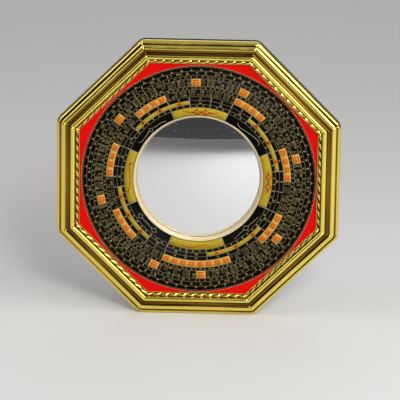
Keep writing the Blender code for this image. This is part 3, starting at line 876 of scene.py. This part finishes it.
def arcPoints(middle, radius, first, last, steps):
    turns = [first + (last - first) * step / steps for step in range(steps + 1)]
    return [(middle[0] + radius * cos(way), middle[1] + radius * sin(way)) for way in turns]


def makeRing():
    top = dialFace + ring["crown"]
    lipLow = mirror["rim"] + domeHeight(ring["lip"], mirror["curve"]) + ring["gap"]
    out, up = ring["lipSlope"]
    profile = [(ring["lip"], lipLow), (ring["lip"], lipLow + ring["lipThick"]),
               (ring["lip"] + out, lipLow + up)]
    profile += arcPoints((ring["outer"] - ring["round"], top - ring["round"]), ring["round"], pi * 0.85,
                         0, ring["roundSteps"])
    profile += [(ring["outer"], ring["low"]), (ring["bore"], ring["low"]),
                (ring["bore"], mirror["rim"] + ring["gap"])]
    newPiece("recess_ring", turnProfile(profile, True, ring["steps"]), [finishes["cream"]],
             50, ["mirror_ring"])


makeMirror()
makeRing()
print("mirror and ring turned")

# Round-headed screws with a sawn slot: their heads stand behind the frame's back
screw = {"head": 2.7, "dome": 1.4, "shank": 1.3, "point": 1.5, "slot": 0.7, "gap": 0.3, "rim": 0.15,
         "domeSteps": 8, "steps": 32}


def makeScrew(node, place, seat, length, slotTurn):
    headSeat = seat - screw["gap"]
    floor = headSeat - screw["dome"] + screw["slot"]
    half = screw["slot"] / 2
    profile = [(0, seat + length), (screw["shank"], seat + length - screw["point"]),
               (screw["shank"], headSeat), (screw["head"] - screw["rim"], headSeat)]
    for step in range(screw["domeSteps"]):
        way = pi / 2 * (step + 1) / screw["domeSteps"]
        profile.append((screw["head"] * cos(way), headSeat - screw["dome"] * sin(way)))
    bm = turnProfile(profile, False, screw["steps"])
    shadeLayer = bm.verts.layers.float.new("paintedShade")
    for point, normal in (((0, half, 0), (0, 1, 0)), ((0, -half, 0), (0, 1, 0)), ((0, 0, floor), (0, 0, 1))):
        bmesh.ops.bisect_plane(bm, geom=[*bm.verts, *bm.edges, *bm.faces], dist=1e-5,
                               plane_co=point, plane_no=normal)
    sawn = [face for face in bm.faces if abs(face.calc_center_median().y) < half
            and face.calc_center_median().z < floor]
    # the slot's floor is given full painted shade
    sunk = bmesh.ops.extrude_face_region(bm, geom=sawn)["geom"]
    for item in sunk:
        if isinstance(item, bmesh.types.BMVert):
            item.co.z = floor
            item[shadeLayer] = 1
    bmesh.ops.delete(bm, geom=[face for face in sawn if face.is_valid], context="FACES")
    bmesh.ops.remove_doubles(bm, verts=bm.verts, dist=1e-4)
    bmesh.ops.recalc_face_normals(bm, faces=bm.faces)
    bmesh.ops.rotate(bm, verts=bm.verts, cent=(0, 0, 0), matrix=Matrix.Rotation(slotTurn, 3, "Z"))
    bmesh.ops.translate(bm, verts=bm.verts, vec=(*place, 0))
    newPiece("slotted_" + node, bm, [finishes["steel"]], 30, [node])


# Turn buttons: stamped strips with round ends and eased edges
button = {"reach": 15.0, "radius": 4.0, "thick": 1.2, "gap": 0.3, "hole": 1.6, "inset": 8.0,
          "edge": 0.32, "steps": 32, "holeSteps": 24, "screwLength": 6.0}


def makeTurnButton(node, side, slotTurn):
    bm = bmesh.new()
    eased = Matrix.Rotation(pi / button["steps"], 4, "Z")
    bmesh.ops.create_circle(bm, segments=button["steps"], radius=button["radius"], matrix=eased)
    for vert in bm.verts:
        if vert.co.y < 0:
            vert.co.y += button["radius"] - button["reach"]
    bmesh.ops.create_circle(bm, segments=button["holeSteps"], radius=button["hole"])
    bmesh.ops.triangle_fill(bm, edges=bm.edges[:], use_beauty=True)
    grown = bmesh.ops.extrude_face_region(bm, geom=bm.faces[:])["geom"]
    bmesh.ops.translate(bm, verts=[item for item in grown if isinstance(item, bmesh.types.BMVert)],
                        vec=(0, 0, -button["thick"]))
    bmesh.ops.translate(bm, verts=bm.verts, vec=(0, 0, -button["gap"]))
    bmesh.ops.recalc_face_normals(bm, faces=bm.faces)
    corners = [edge for edge in bm.edges if edge.calc_face_angle(0) > radians(60)]
    bmesh.ops.bevel(bm, geom=corners, offset=button["edge"], segments=3, profile=0.5, affect="EDGES",
                    material=-1)
    distance = apothem - button["inset"]
    place = (distance * sin(turn * side), distance * cos(turn * side))
    bmesh.ops.rotate(bm, verts=bm.verts, cent=(0, 0, 0), matrix=Matrix.Rotation(-turn * side, 3, "Z"))
    bmesh.ops.translate(bm, verts=bm.verts, vec=(*place, 0))
    newPiece("stamped_" + node, bm, [finishes["steel"]], 30, [node], body=node)
    seat = -button["gap"] - button["thick"]
    makeScrew(node.replace("button", "button_screw"), place, seat, button["screwLength"], slotTurn)


# Each button's side, counted clockwise from the top as seen from the front, and its slot's turn
buttonSides = (("turn_button_top_right", 1, 0.4), ("turn_button_bottom_right", 3, 1.9),
               ("turn_button_bottom_left", 5, 2.6), ("turn_button_top_left", 7, 1.1))
for node, side, slotTurn in buttonSides:
    makeTurnButton(node, side, slotTurn)

# The hanger: the wire loop hangs in the strap's eye
hanger = {"eye": (102.0, -2.2), "screwDrop": 7.2, "screwTurn": 0.2, "strapTop": -1.1, "screwLength": 3.6,
          "wire": 1.6, "wireSteps": 5, "width": 15.0, "length": 20.5, "shoulder": 2.2, "arcSteps": 10}


def makeHangingLoop():
    half = (hanger["width"] - hanger["wire"]) / 2
    shoulder, low = hanger["shoulder"], hanger["wire"] - hanger["length"]
    bow = half - shoulder
    route = arcPoints((half - shoulder, -shoulder), shoulder, pi / 2, 0, hanger["arcSteps"])
    route += arcPoints((half - bow, low + bow), bow, 0, -pi / 2, hanger["arcSteps"])
    route += [(-x, y) for x, y in reversed(route)]
    curve = bpy.data.curves.new("wire_loop", "CURVE")
    curve.dimensions = "3D"
    curve.bevel_depth = hanger["wire"] / 2 * unit
    curve.bevel_resolution = hanger["wireSteps"]
    spline = curve.splines.new("POLY")
    spline.points.add(len(route) - 1)
    for point, (x, y) in zip(spline.points, route):
        point.co = (*(standUp @ Vector((x, hanger["eye"][0] + y, hanger["eye"][1]))), 1)
    spline.use_cyclic_u = True
    curve.materials.append(finishes["brass"])
    loop = addObject("wire_loop", curve)
    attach(loop, "hanger_loop")
    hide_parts("hanger_loop")


makeHangingLoop()
makeScrew("hanger_screw", (0, hanger["eye"][0] - hanger["screwDrop"]), hanger["strapTop"],
          hanger["screwLength"], hanger["screwTurn"])
print("hardware fitted to the back")

# CAD nodes that keep their shape
keptFinishes = {"dial_plate": "red", "dial_board": "board", "backing_board": "board",
                "mirror_tape": "foam", "hanger_strap": "brass"}
keptFinishes.update({f"corner_nail_{index + 1}": "steel" for index in range(sides)})
for node, finish in keptFinishes.items():
    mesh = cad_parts[node].data
    mesh.materials.clear()
    mesh.materials.append(finishes[finish])

# The studio: lamps by name, place, size, power, aim and spread, and the air's light by
# height, from the horizon, 0, to straight above, 1
studio = {
    "floor": (0.70, 0.695, 0.68), "floorSize": 60.0, "floorRoughness": 0.7, "airTint": 1.03,
    "air": ((0.001, 0.06), (0.12, 0.05), (0.4, 0.08), (0.65, 0.20), (0.95, 0.42)),
    "lamps": (
        ("keyLight", (0.56, -2.1, 1.4), (0.66, 0.66), 5.4, (0, 0, 0.12), 70),
        ("wideLight", (1.1, -0.9, 0.98), (1.3, 0.8), 12, (0, 0, 0.12), 180),
        ("leftLight", (-1.35, -0.6, 0.8), (0.7, 0.9), 2.5, (0, 0, 0.12), 180),
        ("backLight", (0.0, 1.7, 1.1), (1.8, 0.7), 5.0, (0, 0, 0.12), 180),
        ("rightFill", (0.62, -0.15, 0.8), (0.4, 0.4), 1.4, (0.58, -0.15, 0), 180),
        ("leftFill", (-0.62, -0.15, 0.8), (0.4, 0.4), 1.4, (-0.58, -0.15, 0), 180),
    ),
}


def makeFloor():
    bm = bmesh.new()
    bmesh.ops.create_grid(bm, x_segments=1, y_segments=1, size=studio["floorSize"] / 2)
    mesh = bpy.data.meshes.new("floor")
    bm.to_mesh(mesh)
    bm.free()
    mesh.materials.append(newFinish("floorPaint", studio["floor"], studio["floorRoughness"])[0])
    addObject("floor", mesh)


def addSoftbox(name, place, size, power, aim, spread):
    light = bpy.data.lights.new(name, "AREA")
    light.shape = "RECTANGLE"
    light.size, light.size_y = size
    light.energy = power
    light.spread = radians(spread)
    lamp = addObject(name, light)
    lamp.location = place
    lamp.rotation_euler = (Vector(aim) - Vector(place)).to_track_quat("-Z", "Y").to_euler()
    lamp.visible_camera = False


def makeWorld():
    world = bpy.data.worlds.new("studioAir")
    bpy.context.scene.world = world
    world.use_nodes = True
    tree = world.node_tree
    where = newNode(tree, "TexCoord", {}).outputs["Generated"]
    parts = newNode(tree, "SeparateXYZ", {"Vector": where})
    ramp = newNode(tree, "ValToRGB", {"Fac": parts.outputs["Z"]})
    stops = ramp.color_ramp.elements
    for position, level in studio["air"]:
        stops.new(position).color = (level, level, level * studio["airTint"], 1)
    stops.remove(stops[-1])
    stops.remove(stops[0])
    setSocket(tree, tree.nodes["Background"].inputs["Color"], ramp.outputs["Color"])


# The camera stands where the photograph was taken from: distance in metres, angles in
# degrees, pixels to a metre, and the face's middle at a pixel of the 400-pixel picture
shot = {"distance": 3.0, "yaw": 1.5, "pitch": 16.3, "roll": 0.86, "scale": 1132.0,
        "middle": (198.1, 178.9), "picture": 400, "sensor": 36.0, "farthest": 50}


def makeCamera():
    data = bpy.data.cameras.new("camera")
    data.sensor_width = shot["sensor"]
    data.lens = shot["scale"] * shot["distance"] / shot["picture"] * shot["sensor"]
    data.clip_end = shot["farthest"]
    yaw, pitch = radians(shot["yaw"]), radians(shot["pitch"])
    away = Vector((sin(yaw) * cos(pitch), -cos(yaw) * cos(pitch), sin(pitch)))
    facing = (-away).to_track_quat("-Z", "Y") @ Quaternion((0, 0, 1), radians(shot["roll"]))
    shiftX = (shot["picture"] / 2 - shot["middle"][0]) / shot["scale"]
    shiftY = (shot["middle"][1] - shot["picture"] / 2) / shot["scale"]
    camera = addObject("camera", data)
    camera.rotation_mode = "QUATERNION"
    camera.rotation_quaternion = facing
    camera.location = faceMiddle + away * shot["distance"] + facing @ Vector((shiftX, shiftY, 0))
    bpy.context.scene.camera = camera


makeFloor()
makeWorld()
for lamp in studio["lamps"]:
    addSoftbox(*lamp)
makeCamera()
bpy.context.scene.view_settings.view_transform = "Standard"
print("studio ready")
